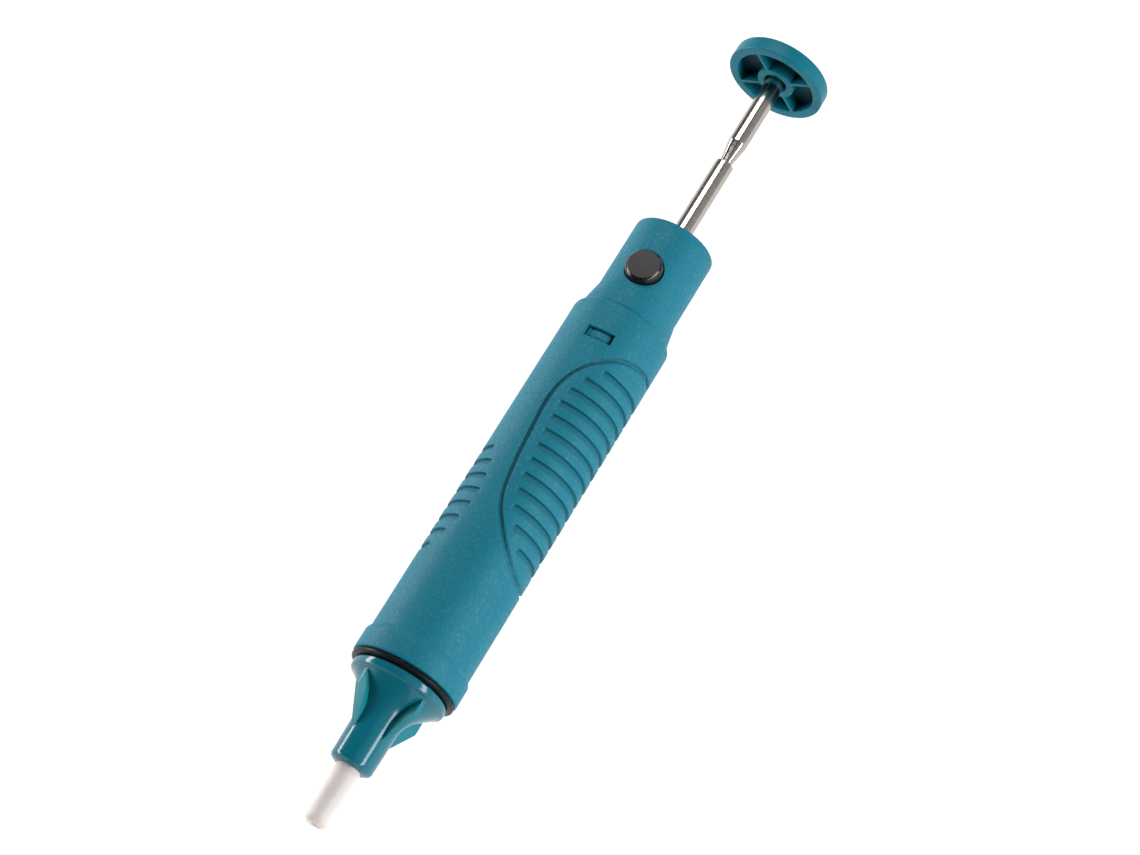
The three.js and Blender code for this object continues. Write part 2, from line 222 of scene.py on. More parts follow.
def coilTree():  # a compression spring along X, with its end turns closed up
    tree, given = startTree("coilSpring", {"Radius": "NodeSocketFloat", "Wire": "NodeSocketFloat",
                                           "Length": "NodeSocketFloat", "Turns": "NodeSocketFloat",
                                           "Start": "NodeSocketVector", "Material": "NodeSocketMaterial"})
    spiral = addNode(tree, "GeometryNodeCurveSpiral",
                     inputs={"Resolution": 48, "Rotations": given["Turns"], "Start Radius": given["Radius"],
                             "End Radius": given["Radius"], "Height": 1.0})
    place = addNode(tree, "ShaderNodeSeparateXYZ",
                    inputs={0: addNode(tree, "GeometryNodeInputPosition").outputs[0]})
    closeTurn = addNode(tree, "ShaderNodeMath", {"operation": "DIVIDE"}, {0: 1.0, 1: given["Turns"]})
    lastTurn = addNode(tree, "ShaderNodeMath", {"operation": "SUBTRACT"}, {0: 1.0, 1: closeTurn.outputs[0]})
    body = addNode(tree, "ShaderNodeMapRange", {"interpolation_type": "LINEAR"},
                   {"Value": place.outputs["Z"], "From Min": closeTurn.outputs[0],
                    "From Max": lastTurn.outputs[0]})
    thick = addNode(tree, "ShaderNodeMath", {"operation": "MULTIPLY"}, {0: given["Wire"], 1: 2.1})
    early = addNode(tree, "ShaderNodeMapRange", {},
                    {"Value": place.outputs["Z"], "From Max": closeTurn.outputs[0],
                     "To Max": thick.outputs[0]})
    late = addNode(tree, "ShaderNodeMapRange", {},
                   {"Value": place.outputs["Z"], "From Min": lastTurn.outputs[0],
                   "To Max": thick.outputs[0]})
    twice = addNode(tree, "ShaderNodeMath", {"operation": "MULTIPLY"}, {0: thick.outputs[0], 1: -2.0})
    unwound = addNode(tree, "ShaderNodeMath", {"operation": "ADD"}, {0: given["Length"], 1: twice.outputs[0]})
    stretch = addNode(tree, "ShaderNodeMath", {"operation": "MULTIPLY_ADD"},
                      {0: body.outputs[0], 1: unwound.outputs[0], 2: early.outputs[0]})
    along = addNode(tree, "ShaderNodeMath", {"operation": "ADD"}, {0: stretch.outputs[0], 1: late.outputs[0]})
    lying = addNode(tree, "ShaderNodeCombineXYZ", inputs={"X": along.outputs[0], "Y": place.outputs["Y"],
                                                          "Z": place.outputs["X"]})
    moved = addNode(tree, "ShaderNodeVectorMath", {"operation": "ADD"},
                    {0: lying.outputs[0], 1: given["Start"]})
    path = addNode(tree, "GeometryNodeSetPosition",
                   inputs={"Geometry": spiral.outputs["Curve"], "Position": moved.outputs[0]})
    section = addNode(tree, "GeometryNodeCurvePrimitiveCircle",
                      inputs={"Resolution": 12, "Radius": given["Wire"]})
    wire = addNode(tree, "GeometryNodeCurveToMesh",
                   inputs={"Curve": path.outputs[0], "Profile Curve": section.outputs["Curve"],
                           "Fill Caps": True})
    endTree(tree, wire.outputs[0], given["Material"])
    return tree


def grooveTree():
    # presses finger grooves into a barrel: the floor ramps down to a square wall on the knob side
    tree, given = startTree("fingerGrooves", {"Pitch": "NodeSocketFloat", "Width": "NodeSocketFloat",
                                              "Depth": "NodeSocketFloat", "Shallow Share": "NodeSocketFloat",
                                              "First Wall": "NodeSocketFloat",
                                              "Axis Height": "NodeSocketFloat",
                                              "Material": "NodeSocketMaterial"})
    position = addNode(tree, "GeometryNodeInputPosition")
    place = addNode(tree, "ShaderNodeSeparateXYZ", inputs={0: position.outputs[0]})
    behind = addNode(tree, "ShaderNodeMath", {"operation": "SUBTRACT"},
                     {0: given["First Wall"], 1: place.outputs["X"]})
    local = addNode(tree, "ShaderNodeMath", {"operation": "FLOORED_MODULO"},
                    {0: behind.outputs[0], 1: given["Pitch"]})
    share = addNode(tree, "ShaderNodeMath", {"operation": "DIVIDE"}, {0: local.outputs[0], 1: given["Width"]})
    wall = addNode(tree, "ShaderNodeMapRange", {"interpolation_type": "SMOOTHSTEP"},
                   {"Value": share.outputs[0], "From Max": 0.12})
    lip = addNode(tree, "ShaderNodeMapRange", {"interpolation_type": "SMOOTHSTEP"},
                  {"Value": share.outputs[0], "From Min": 0.88, "To Min": 1.0, "To Max": 0.0})
    ramp = addNode(tree, "ShaderNodeMapRange", {"interpolation_type": "SMOOTHSTEP"},
                   {"Value": share.outputs[0], "From Min": 0.1, "To Min": 1.0,
                    "To Max": given["Shallow Share"]})
    room = addNode(tree, "GeometryNodeInputNamedAttribute", {"data_type": "FLOAT"}, {"Name": "grooveRoom"})
    ends = addNode(tree, "ShaderNodeMapRange", {"interpolation_type": "SMOOTHSTEP"},
                   {"Value": room.outputs["Attribute"], "From Max": 0.38 * mm})
    cut = wall
    for factor in (lip, ramp, ends):
        cut = addNode(tree, "ShaderNodeMath", {"operation": "MULTIPLY"},
                      {0: cut.outputs[0], 1: factor.outputs[0]})
    sunk = addNode(tree, "ShaderNodeMath", {"operation": "MULTIPLY"}, {0: cut.outputs[0], 1: given["Depth"]})
    rise = addNode(tree, "ShaderNodeMath", {"operation": "SUBTRACT"},
                   {0: place.outputs["Z"], 1: given["Axis Height"]})
    outward = addNode(tree, "ShaderNodeCombineXYZ", inputs={"Y": place.outputs["Y"], "Z": rise.outputs[0]})
    unit = addNode(tree, "ShaderNodeVectorMath", {"operation": "NORMALIZE"}, {0: outward.outputs[0]})
    inward = addNode(tree, "ShaderNodeMath", {"operation": "MULTIPLY"}, {0: sunk.outputs[0], 1: -1.0})
    shift = addNode(tree, "ShaderNodeVectorMath", {"operation": "SCALE"},
                    {0: unit.outputs[0], "Scale": inward.outputs[0]})
    # the groove's depth is added to the border channel's and kept as "sunk", which the barrel's material
    # turns into painted shade on the floors
    channel = addNode(tree, "GeometryNodeInputNamedAttribute", {"data_type": "FLOAT"}, {"Name": "sunk"})
    shadeDepth = addNode(tree, "ShaderNodeMath", {"operation": "ADD"},
                   {0: cut.outputs[0], 1: channel.outputs["Attribute"]})
    noted = addNode(tree, "GeometryNodeStoreNamedAttribute", {"data_type": "FLOAT", "domain": "POINT"},
                    {"Geometry": given["Geometry"], "Name": "sunk", "Value": shadeDepth.outputs[0]})
    pressed = addNode(tree, "GeometryNodeSetPosition",
                      inputs={"Geometry": noted.outputs["Geometry"], "Offset": shift.outputs[0]})
    endTree(tree, pressed.outputs[0], given["Material"])
    return tree


# Materials

def colour(code):  # sRGB hex to linear
    channels = [int(code[i:i + 2], 16) / 255 for i in (1, 3, 5)]
    return [c / 12.92 if c <= 0.04045 else ((c + 0.055) / 1.055) ** 2.4 for c in channels] + [1]


def startMaterial(name, **fixed):
    material = bpy.data.materials.new(name)
    material.use_nodes = True
    tree = material.node_tree
    tree.nodes.clear()
    shader = addNode(tree, "ShaderNodeBsdfPrincipled", inputs=fixed)
    addNode(tree, "ShaderNodeOutputMaterial", inputs={"Surface": shader.outputs[0]})
    space = addNode(tree, "ShaderNodeTexCoord").outputs["Object"]
    return material, tree, shader, space


def setSkin(tree, shader, tone, pattern, rough, bump):
    # gives the shader its colour; the pattern drives the roughness (in and out limits) and the relief, in mm
    tree.links.new(tone.outputs[2], shader.inputs["Base Color"])
    limits = dict(zip(("From Min", "From Max", "To Min", "To Max"), rough))
    dulled = addNode(tree, "ShaderNodeMapRange", inputs={"Value": pattern.outputs["Fac"], **limits})
    tree.links.new(dulled.outputs[0], shader.inputs["Roughness"])
    relief = addNode(tree, "ShaderNodeBump", inputs={"Distance": bump * mm, "Height": pattern.outputs["Fac"]})
    tree.links.new(relief.outputs[0], shader.inputs["Normal"])


def mouldedPlastic(name, deep, pale, grain, bump, roughness, spread, gloss=0.5, coat=0.0):
    # coloured plastic from a steel mould: the cloudiness breaks up the colour, the grain the highlight
    material, tree, shader, space = startMaterial(name, IOR=1.5)
    shader.inputs["Specular IOR Level"].default_value = gloss
    shader.inputs["Coat Weight"].default_value = coat
    shader.inputs["Coat Roughness"].default_value = 0.08
    cloud = addNode(tree, "ShaderNodeTexNoise",
                    inputs={"Vector": space, "Scale": 1 / (9 * mm), "Detail": 3.0})
    mix = addNode(tree, "ShaderNodeMix", {"data_type": "RGBA"},
                  {0: cloud.outputs["Fac"], 6: colour(deep), 7: colour(pale)})
    fine = addNode(tree, "ShaderNodeTexNoise",
                   inputs={"Vector": space, "Scale": 1 / (grain * mm), "Detail": 2.0})
    setSkin(tree, shader, mix, fine, (0.3, 0.7, roughness - spread, roughness + spread), bump)
    return material


def sparkErodedPlastic(name, deep, pale, grain, bump):
    # coloured plastic from a spark-eroded mould: painted glints, pale specks in the colour where the grain
    # would catch the light, drawn coarser than a real grain, which is too fine to show; groove and channel
    # floors are toned darker, painted shade for the shade they lie in
    material, tree, shader, space = startMaterial(name, IOR=1.5)
    shader.inputs["Specular IOR Level"].default_value = 0.22
    cloud = addNode(tree, "ShaderNodeTexNoise",
                    inputs={"Vector": space, "Scale": 1 / (9 * mm), "Detail": 3.0})
    skin = addNode(tree, "ShaderNodeMix", {"data_type": "RGBA"},
                   {0: cloud.outputs["Fac"], 6: colour(deep), 7: colour(pale)})
    fine = addNode(tree, "ShaderNodeTexNoise",
                   inputs={"Vector": space, "Scale": 1 / (grain * mm), "Detail": 1.0})
    # painted glints: pale specks mixed into the colour, standing in for the grain catching the light
    glint = addNode(tree, "ShaderNodeMapRange", inputs={"Value": fine.outputs["Fac"], "From Min": 0.54,
                                                        "From Max": 0.75, "To Max": 0.17})
    paintedGlints = addNode(tree, "ShaderNodeMix", {"data_type": "RGBA"},
                       {0: glint.outputs[0], 6: skin.outputs[2], 7: colour("#4f9aa6")})
    # painted shade: the deeper a groove or channel floor lies, the darker its colour
    sunk = addNode(tree, "ShaderNodeAttribute", {"attribute_name": "sunk"})
    shade = addNode(tree, "ShaderNodeMapRange", inputs={"Value": sunk.outputs["Fac"], "From Min": 0.25,
                                                        "From Max": 0.7, "To Max": 0.38})
    tone = addNode(tree, "ShaderNodeMix", {"data_type": "RGBA"},
                   {0: shade.outputs[0], 6: paintedGlints.outputs[2], 7: colour("#17505b")})
    setSkin(tree, shader, tone, fine, (0.3, 0.7, 0.66, 0.44), bump)
    return material


def turnedMetal(name, deep, pale, pitch, bump, roughness, spread):
    # bar turned and polished in a lathe: rings round the axis draw the highlight out along the part
    material, tree, shader, space = startMaterial(name, Metallic=1.0)
    squeeze = addNode(tree, "ShaderNodeMapping", inputs={"Vector": space, "Scale": (1 / pitch / mm, 40, 40)})
    rings = addNode(tree, "ShaderNodeTexNoise",
                    inputs={"Vector": squeeze.outputs[0], "Scale": 1.0, "Detail": 4.0})
    mix = addNode(tree, "ShaderNodeMix", {"data_type": "RGBA"},
                  {0: rings.outputs["Fac"], 6: colour(deep), 7: colour(pale)})
    setSkin(tree, shader, mix, rings, (0.3, 0.7, roughness - spread, roughness + spread), bump)
    return material


def ptfeNozzle():
    # turned PTFE: waxy and slightly see-through, a little browner towards the end, with a few dark specks
    material, tree, shader, space = startMaterial("ptfeTurned", IOR=1.38)
    shader.inputs["Subsurface Weight"].default_value = 1.0
    shader.inputs["Subsurface Radius"].default_value = (1.0, 0.97, 0.95)
    shader.inputs["Subsurface Scale"].default_value = 5 * mm
    shader.inputs["Specular IOR Level"].default_value = 0.3
    shader.inputs["Roughness"].default_value = 0.38
    tip, inner = nodeX("nozzle_tip")
    place = addNode(tree, "ShaderNodeSeparateXYZ", inputs={0: space})
    heat = addNode(tree, "ShaderNodeMapRange", {"interpolation_type": "SMOOTHSTEP"},
                   {"Value": place.outputs["X"], "From Min": tip * mm, "From Max": (tip + 2.2) * mm,
                    "To Min": 1.0, "To Max": 0.0})
    stain = addNode(tree, "ShaderNodeMix", {"data_type": "RGBA"},
                    {0: heat.outputs[0], 6: colour("#c9c5c4"), 7: colour("#bfb6b2")})
    cloud = addNode(tree, "ShaderNodeTexNoise",
                    inputs={"Vector": space, "Scale": 1 / (3 * mm), "Detail": 3.0})
    warm = addNode(tree, "ShaderNodeMix", {"data_type": "RGBA", "blend_type": "MULTIPLY"},
                   {0: cloud.outputs["Fac"], 6: stain.outputs[2], 7: colour("#faf5f2")})
    spots = addNode(tree, "ShaderNodeTexVoronoi", inputs={"Vector": space, "Scale": 1 / (4.5 * mm)})
    speck = addNode(tree, "ShaderNodeMapRange", inputs={"Value": spots.outputs["Distance"], "From Min": 0.035,
                                                        "From Max": 0.06, "To Min": 0.6, "To Max": 0.0})
    dirty = addNode(tree, "ShaderNodeMix", {"data_type": "RGBA"},
                    {0: speck.outputs[0], 6: warm.outputs[2], 7: colour("#5d4f4c")})
    tree.links.new(dirty.outputs[2], shader.inputs["Base Color"])
    return material


def knobPlastic():
    # fine satin moulding; the pocket floors are toned darker, standing in for the deep shade they lie in
    material, tree, shader, space = startMaterial("absFineMould", IOR=1.5)
    shader.inputs["Specular IOR Level"].default_value = 0.16
    place = addNode(tree, "ShaderNodeSeparateXYZ", inputs={0: space})
    start, back = nodeX("knob")
    sunk = addNode(tree, "ShaderNodeMapRange", {"interpolation_type": "SMOOTHSTEP"},
                   {"Value": place.outputs["X"], "From Min": (start + 0.2) * mm,
                    "From Max": (start + 2.4) * mm})
    rise = addNode(tree, "ShaderNodeMath", {"operation": "SUBTRACT"},
                   {0: place.outputs["Z"], 1: axisHeight * mm})
    spoke = addNode(tree, "ShaderNodeCombineXYZ", inputs={"Y": place.outputs["Y"], "Z": rise.outputs[0]})
    reach = addNode(tree, "ShaderNodeVectorMath", {"operation": "LENGTH"}, {0: spoke.outputs[0]})
    inside = addNode(tree, "ShaderNodeMapRange",
                     inputs={"Value": reach.outputs["Value"], "From Min": 10.2 * mm, "From Max": 10.6 * mm,
                             "To Min": 1.0, "To Max": 0.0})
    ahead = addNode(tree, "ShaderNodeMath", {"operation": "LESS_THAN"},
                    {0: place.outputs["X"], 1: (back - 0.4) * mm})
    pocket = sunk
    for mask in (inside, ahead):
        pocket = addNode(tree, "ShaderNodeMath", {"operation": "MULTIPLY"},
                         {0: pocket.outputs[0], 1: mask.outputs[0]})
    cloud = addNode(tree, "ShaderNodeTexNoise",
                    inputs={"Vector": space, "Scale": 1 / (6 * mm), "Detail": 3.0})
    skin = addNode(tree, "ShaderNodeMix", {"data_type": "RGBA"},
                   {0: cloud.outputs["Fac"], 6: colour("#046374"), 7: colour("#076879")})
    tone = addNode(tree, "ShaderNodeMix", {"data_type": "RGBA"},
                   {0: pocket.outputs[0], 6: skin.outputs[2], 7: colour("#033440")})
    fine = addNode(tree, "ShaderNodeTexNoise",
                   inputs={"Vector": space, "Scale": 1 / (0.4 * mm), "Detail": 2.0})
    setSkin(tree, shader, tone, fine, (0.0, 1.0, 0.34, 0.5), 0.02)
    return material


def buttonAcetal(top):
    # moulded acetal: polished on its side, with a fine satin face where the thumb rests
    material, tree, shader, space = startMaterial("acetalButton", IOR=1.48)
    shader.inputs["Specular IOR Level"].default_value = 0.35
    place = addNode(tree, "ShaderNodeSeparateXYZ", inputs={0: space})
    face = addNode(tree, "ShaderNodeMapRange", {"interpolation_type": "SMOOTHSTEP"},
                   {"Value": place.outputs["Z"], "From Min": (top - 0.12) * mm,
                    "From Max": (top - 0.02) * mm})
    fine = addNode(tree, "ShaderNodeTexNoise",
                   inputs={"Vector": space, "Scale": 1 / (0.25 * mm), "Detail": 2.0})
    satin = addNode(tree, "ShaderNodeMix", {"data_type": "RGBA"},
                    {0: fine.outputs["Fac"], 6: colour("#252225"), 7: colour("#2d292d")})
    tone = addNode(tree, "ShaderNodeMix", {"data_type": "RGBA"},
                   {0: face.outputs[0], 6: colour("#121113"), 7: satin.outputs[2]})
    tree.links.new(tone.outputs[2], shader.inputs["Base Color"])
    rough = addNode(tree, "ShaderNodeMapRange",
                    inputs={"Value": face.outputs[0], "To Min": 0.16, "To Max": 0.5})
    tree.links.new(rough.outputs[0], shader.inputs["Roughness"])
    relief = addNode(tree, "ShaderNodeBump",
                     inputs={"Strength": 0.6, "Distance": 0.01 * mm, "Height": fine.outputs["Fac"]})
    tree.links.new(relief.outputs[0], shader.inputs["Normal"])
    return material


def whiteFloor():
    material, tree, shader, space = startMaterial("paintedFloor")
    mottle = addNode(tree, "ShaderNodeTexNoise", inputs={"Vector": space, "Scale": 3.0, "Detail": 3.0})
    paint = addNode(tree, "ShaderNodeMix", {"data_type": "RGBA"},
                    {0: mottle.outputs["Fac"], 6: colour("#868686"), 7: colour("#8c8c8c")})
    tree.links.new(paint.outputs[2], shader.inputs["Base Color"])
    shader.inputs["Roughness"].default_value = 0.8
    shader.inputs["Emission Color"].default_value = (1, 1, 1, 1)  # lit from below, like a light table
    shader.inputs["Emission Strength"].default_value = studio["floorGlow"]
    return material


satinTeal = sparkErodedPlastic("absSparkEroded", "#04677b", "#086d81", 0.55, 0.05)
glossTeal = mouldedPlastic("absPolishedMould", "#036172", "#056576", 0.8, 0.002, 0.16, 0.03, 0.4)
# the fins' teal is painted lighter than the nose's, standing in for light falling on their faces
litFinTeal = mouldedPlastic("absSatinRibLit", "#05707c", "#087581", 0.5, 0.004, 0.32, 0.04, 0.3)
knobTeal = knobPlastic()
blackRubber = mouldedPlastic("nitrileRubber", "#0c0d0e", "#141516", 0.4, 0.006, 0.36, 0.08, 0.14)
buttonPlastic = buttonAcetal(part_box("button")[1][2] / mm)
greyPlastic = mouldedPlastic("acetalNatural", "#8a9094", "#989da1", 0.6, 0.006, 0.35, 0.05)
ptfe = ptfeNozzle()
brightSteel = turnedMetal("steelPolished", "#a59f98", "#b4aea7", 0.35, 0.001, 0.16, 0.04)
springSteel = turnedMetal("steelDrawnWire", "#8d8f92", "#a2a4a8", 0.2, 0.002, 0.26, 0.05)
plateSteel = turnedMetal("steelStamped", "#a5a6a8", "#b5b6b8", 1.5, 0.003, 0.3, 0.06)
brassBar = turnedMetal("brassTurned", "#b08a3e", "#c09a4b", 0.3, 0.002, 0.22, 0.05)
print("materials made")


# Barrel

barrel = dict(radius=12.0, collarRadius=12.63, collarEnd=-64.0, slopeEnd=-62.95, bore=10.4, frontEdge=0.5,
              rearEdge=1.2, rearRadius=11.1, windowHalf=16.5, windowFront=16.3, windowRear=19.09)
barrel["front"], barrel["rear"] = nodeX("barrel")
grip = dict(pitch=3.754, width=1.7, depth=0.62, shallow=0.6, firstWall=-34.15, count=13, inset=1.95,
            channelWidth=1.15, channelWall=0.4, channelDepth=0.6)
patch = dict(firstWall=-41.65, count=8, centre=-28.55, halfLength=18.3, halfAngle=69)
panelOutline = [(-39.9, 0), (-39.05, 28), (-34.95, 57.7), (-27.85, 81.8), (-19.25, 91.3), (-10.15, 95.8),
                (-1.15, 98.8), (4.85, 93.6), (9.85, 79.6), (13.85, 57.7), (15.75, 33.8), (16.4, 0)]


def panelEdge(steps=24):  # closed smooth outline of the palm panel: x and angle from its middle
    knots = [np.array(p, float) for p in panelOutline + [(x, -a) for x, a in panelOutline[-2:0:-1]]]
    line = []
    for i, here in enumerate(knots):
        before, after, beyond = knots[i - 1], knots[(i + 1) % len(knots)], knots[(i + 2) % len(knots)]
        for k in range(steps):
            t = k / steps
            line.append(0.5 * (2 * here + (after - before) * t
                               + (2 * before - 5 * here + 4 * after - beyond) * t ** 2
                               + (3 * here - before - 3 * after + beyond) * t ** 3))
    return np.array(line)


def smooth(value, low, high):
    t = np.clip((value - low) / (high - low), 0, 1)
    return t * t * (3 - 2 * t)


def barrelLines():  # where the rings of the mesh lie: close together where the grip is pressed in
    lines = [barrel["front"] + barrel["frontEdge"] * (1 - math.cos(math.radians(a))) for a in range(0, 91,
                                                                                                    15)]
    lines += [barrel["front"] + 1.5, barrel["front"] + 3.2, barrel["collarEnd"] - 0.1]
    lines += [barrel["collarEnd"] + 0.1, barrel["slopeEnd"] - 0.1, barrel["slopeEnd"],
              barrel["slopeEnd"] + 0.1]
    lines += list(np.linspace(-61.2, -46.2, 9))
    shares = [0, 0.035, 0.07, 0.12, 0.28, 0.45, 0.62, 0.78, 0.88, 0.94, 1.0]
    for k in range(16):
        wall = patch["firstWall"] + grip["pitch"] * k
        lines += [wall - s * grip["width"] for s in shares]
        lines += list(np.linspace(wall - grip["width"] - 0.35, wall - grip["pitch"] + 0.3, 5))
    lines += list(np.linspace(wall + 0.25, barrel["windowFront"], 7)) + list(np.linspace(16.5, 17.7, 7))
    lines += [barrel["windowRear"]] + list(np.linspace(20.5, barrel["rear"] - barrel["rearEdge"], 4))
    lines += [barrel["rear"] - barrel["rearEdge"] * (1 - math.sin(math.radians(a))) for a in range(10, 91,
                                                                                                   10)]
    return np.array(sorted(set(round(float(x), 4) for x in lines)))


def barrelAngles():  # finer round the windows and the panel's long edges, coarser across its middle
    half = barrel["windowHalf"]
    spans = [(-half, half, 38), (half, 44, 32), (44, 136, 50), (136, 180 - half, 32),
             (180 - half, 180 + half, 38),
             (180 + half, 360 - half, 104)]
    return np.concatenate([np.linspace(a, b, n, endpoint=False) for a, b, n in spans])


def barrelRadius(x):
    edge, rear = barrel["frontEdge"], barrel["rearEdge"]
    step = np.clip((x - barrel["collarEnd"]) / (barrel["slopeEnd"] - barrel["collarEnd"]), 0, 1)
    radius = barrel["collarRadius"] - (barrel["collarRadius"] - barrel["radius"]) * step
    lead = np.clip(1 - (x - barrel["front"]) / edge, 0, 1)
    radius = radius - edge * (1 - np.sqrt(1 - lead ** 2))
    trail = np.clip(1 - (barrel["rear"] - x) / rear, 0, 1)
    return radius - (barrel["radius"] - barrel["rearRadius"]) * (1 - np.sqrt(1 - trail ** 2))


def nearestEdge(x, arc, line, scale):  # distance in mm from each point to the panel's outline
    shortest = np.full(x.shape, 1e9)
    for a, b in zip(line, np.roll(line, -1, axis=0)):
        along = np.array([b[0] - a[0], (b[1] - a[1]) * scale])
        fromA = np.stack([x - a[0], arc - a[1] * scale], -1)
        t = np.clip(fromA @ along / (along @ along), 0, 1)
        shortest = np.minimum(shortest, np.hypot(fromA[..., 0] - t * along[0], fromA[..., 1] - t * along[1]))
    return shortest


def grooveRooms(x, angle, line, scale):  # mm from each point to the rounded end of the groove it lies in
    room = np.full(x.shape, -1.0)
    half = grip["width"] / 2
    fromPanel = np.abs(np.mod(angle - 90 + 180, 360) - 180)
    fromPatch = np.abs(np.mod(angle + 90 + 180, 360) - 180)
    for k in range(grip["count"]):
        middle = grip["firstWall"] + grip["pitch"] * k - half
        trial = np.linspace(0, 100, 401)
        near = nearestEdge(np.full(trial.shape, middle), trial * scale, line, scale)
        edge = line[line[:, 1] > 0]
        rim = edge[np.argmin(np.abs(edge[:, 0] - middle)), 1]
        reach = trial[(near > grip["inset"]) & (trial < rim)].max()
        inside = np.abs(x - middle) <= half + 0.02
        rounding = half - np.sqrt(np.maximum(0, half ** 2 - (x - middle) ** 2))
        room = np.where(inside & (fromPanel < 110), (reach - fromPanel) * scale - rounding, room)
    for k in range(patch["count"]):
        middle = patch["firstWall"] + grip["pitch"] * k - half
        share = (middle - patch["centre"]) / patch["halfLength"]
        reach = patch["halfAngle"] * math.sqrt(1 - share ** 2)
        inside = np.abs(x - middle) <= half + 0.02
        rounding = half - np.sqrt(np.maximum(0, half ** 2 - (x - middle) ** 2))
        room = np.where(inside & (fromPatch < 72), (reach - fromPatch) * scale - rounding, room)
    return room


def borderDepth(x, fromPanel, line, scale):  # ramps down from outside, then a square wall up to the panel
    reach = nearestEdge(x, fromPanel * scale, line, scale)
    half = line[line[:, 1] >= 0]
    half = half[np.argsort(half[:, 0])]
    rim = np.interp(x, half[:, 0], half[:, 1], left=-1, right=-1)
    inside = np.where(np.abs(fromPanel) < rim, reach, -reach)
    outer = smooth(inside, -grip["channelWidth"], -grip["channelWidth"] + 0.22)
    return grip["channelDepth"] * outer * (1 - smooth(inside, -grip["channelWall"] / 2,
                                                      grip["channelWall"] / 2))


def makeBarrel():
    lines = barrelLines()
    angles = barrelAngles()
    sides = len(angles)
    x, angle = np.meshgrid(lines, angles, indexing="ij")
    scale = math.radians(1) * barrel["radius"]
    line = panelEdge()
    fromPanel = np.mod(angle - 90 + 180, 360) - 180
    channel = borderDepth(x, fromPanel, line, scale)
    radius = barrelRadius(x) - channel
    room = grooveRooms(x, angle, line, scale)
    turn = np.radians(angle)
    outer = np.stack([x, -radius * np.sin(turn), axisHeight + radius * np.cos(turn)], -1).reshape(-1, 3)
    first = int(np.argmin(np.abs(lines - barrel["windowFront"])))
    last = int(np.argmin(np.abs(lines - barrel["windowRear"])))
    boreLines = [0, first, last, len(lines) - 1]
    inner = [onAxis(lines[i], barrel["bore"], a) / mm for i in boreLines for a in angles]
    points = np.concatenate([outer, np.array([tuple(p) for p in inner])]) * mm
    offset = len(lines) * sides
    middles = (angles + np.append(angles[1:], angles[0] + 360)) / 2
    opening = np.abs(np.mod(middles + 90, 180) - 90) < barrel["windowHalf"]  # snap windows, top and bottom

    faces = []
    for i in range(len(lines) - 1):
        for j in range(sides):
            n = (j + 1) % sides
            if not (first <= i < last and opening[j]):
                faces.append((i * sides + j, i * sides + n, (i + 1) * sides + n, (i + 1) * sides + j))
    for row in range(3):
        for j in range(sides):
            n = (j + 1) % sides
            a, b = offset + row * sides, offset + (row + 1) * sides
            if not (row == 1 and opening[j]):
                faces.append((a + j, b + j, b + n, a + n))
    for j in range(sides):
        n = (j + 1) % sides
        for row, i in ((0, 0), (3, len(lines) - 1)):
            a, b = i * sides, offset + row * sides
            faces.append((a + j, a + n, b + n, b + j))
        if opening[j]:
            for row, i in ((1, first), (2, last)):
                a, b = i * sides, offset + row * sides
                faces.append((a + j, a + n, b + n, b + j))
        if opening[j] != opening[j - 1]:
            b = offset + sides
            faces.append(tuple(i * sides + j for i in range(first, last + 1)) + (b + sides + j, b + j))
    mesh = bpy.data.meshes.new("barrelShell")
    mesh.from_pydata([tuple(p) for p in points], [], faces)
    # "sunk" holds the border channel's depth, later turned into painted shade on its floor
    for label, values, rest in (("grooveRoom", room * mm, -1.0),
                                ("sunk", channel / grip["channelDepth"], 0.0)):
        store = mesh.attributes.new(label, "FLOAT", "POINT")
        store.data.foreach_set("value", np.concatenate([values.reshape(-1),
                                                        np.full(len(inner), rest)]).astype("f4"))
    shell = makePiece("barrelShell", mesh, satinTeal)
    runTree(shell, grooveTree(), {"Pitch": grip["pitch"] * mm, "Width": grip["width"] * mm,
                                  "Depth": grip["depth"] * mm, "Shallow Share": grip["shallow"],
                                  "First Wall": grip["firstWall"] * mm, "Axis Height": axisHeight * mm,
                                  "Material": satinTeal}, sharp=50)
    print("barrel triangles", sum(len(f.vertices) - 2 for f in shell.data.polygons))
    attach(shell, "barrel")
    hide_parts("barrel")


makeBarrel()
print("barrel made")


# Nose

nose = dict(tube=4.95, tubeRear=5.07, hole=2.97, dome=0.7, spigot=9.9, bore=3.95, chamber=6.6,
            finThickness=1.15, finStart=55.5, finCount=4)
nose["front"], nose["rear"] = nodeX("nose")
roundRow = roundRowTree()


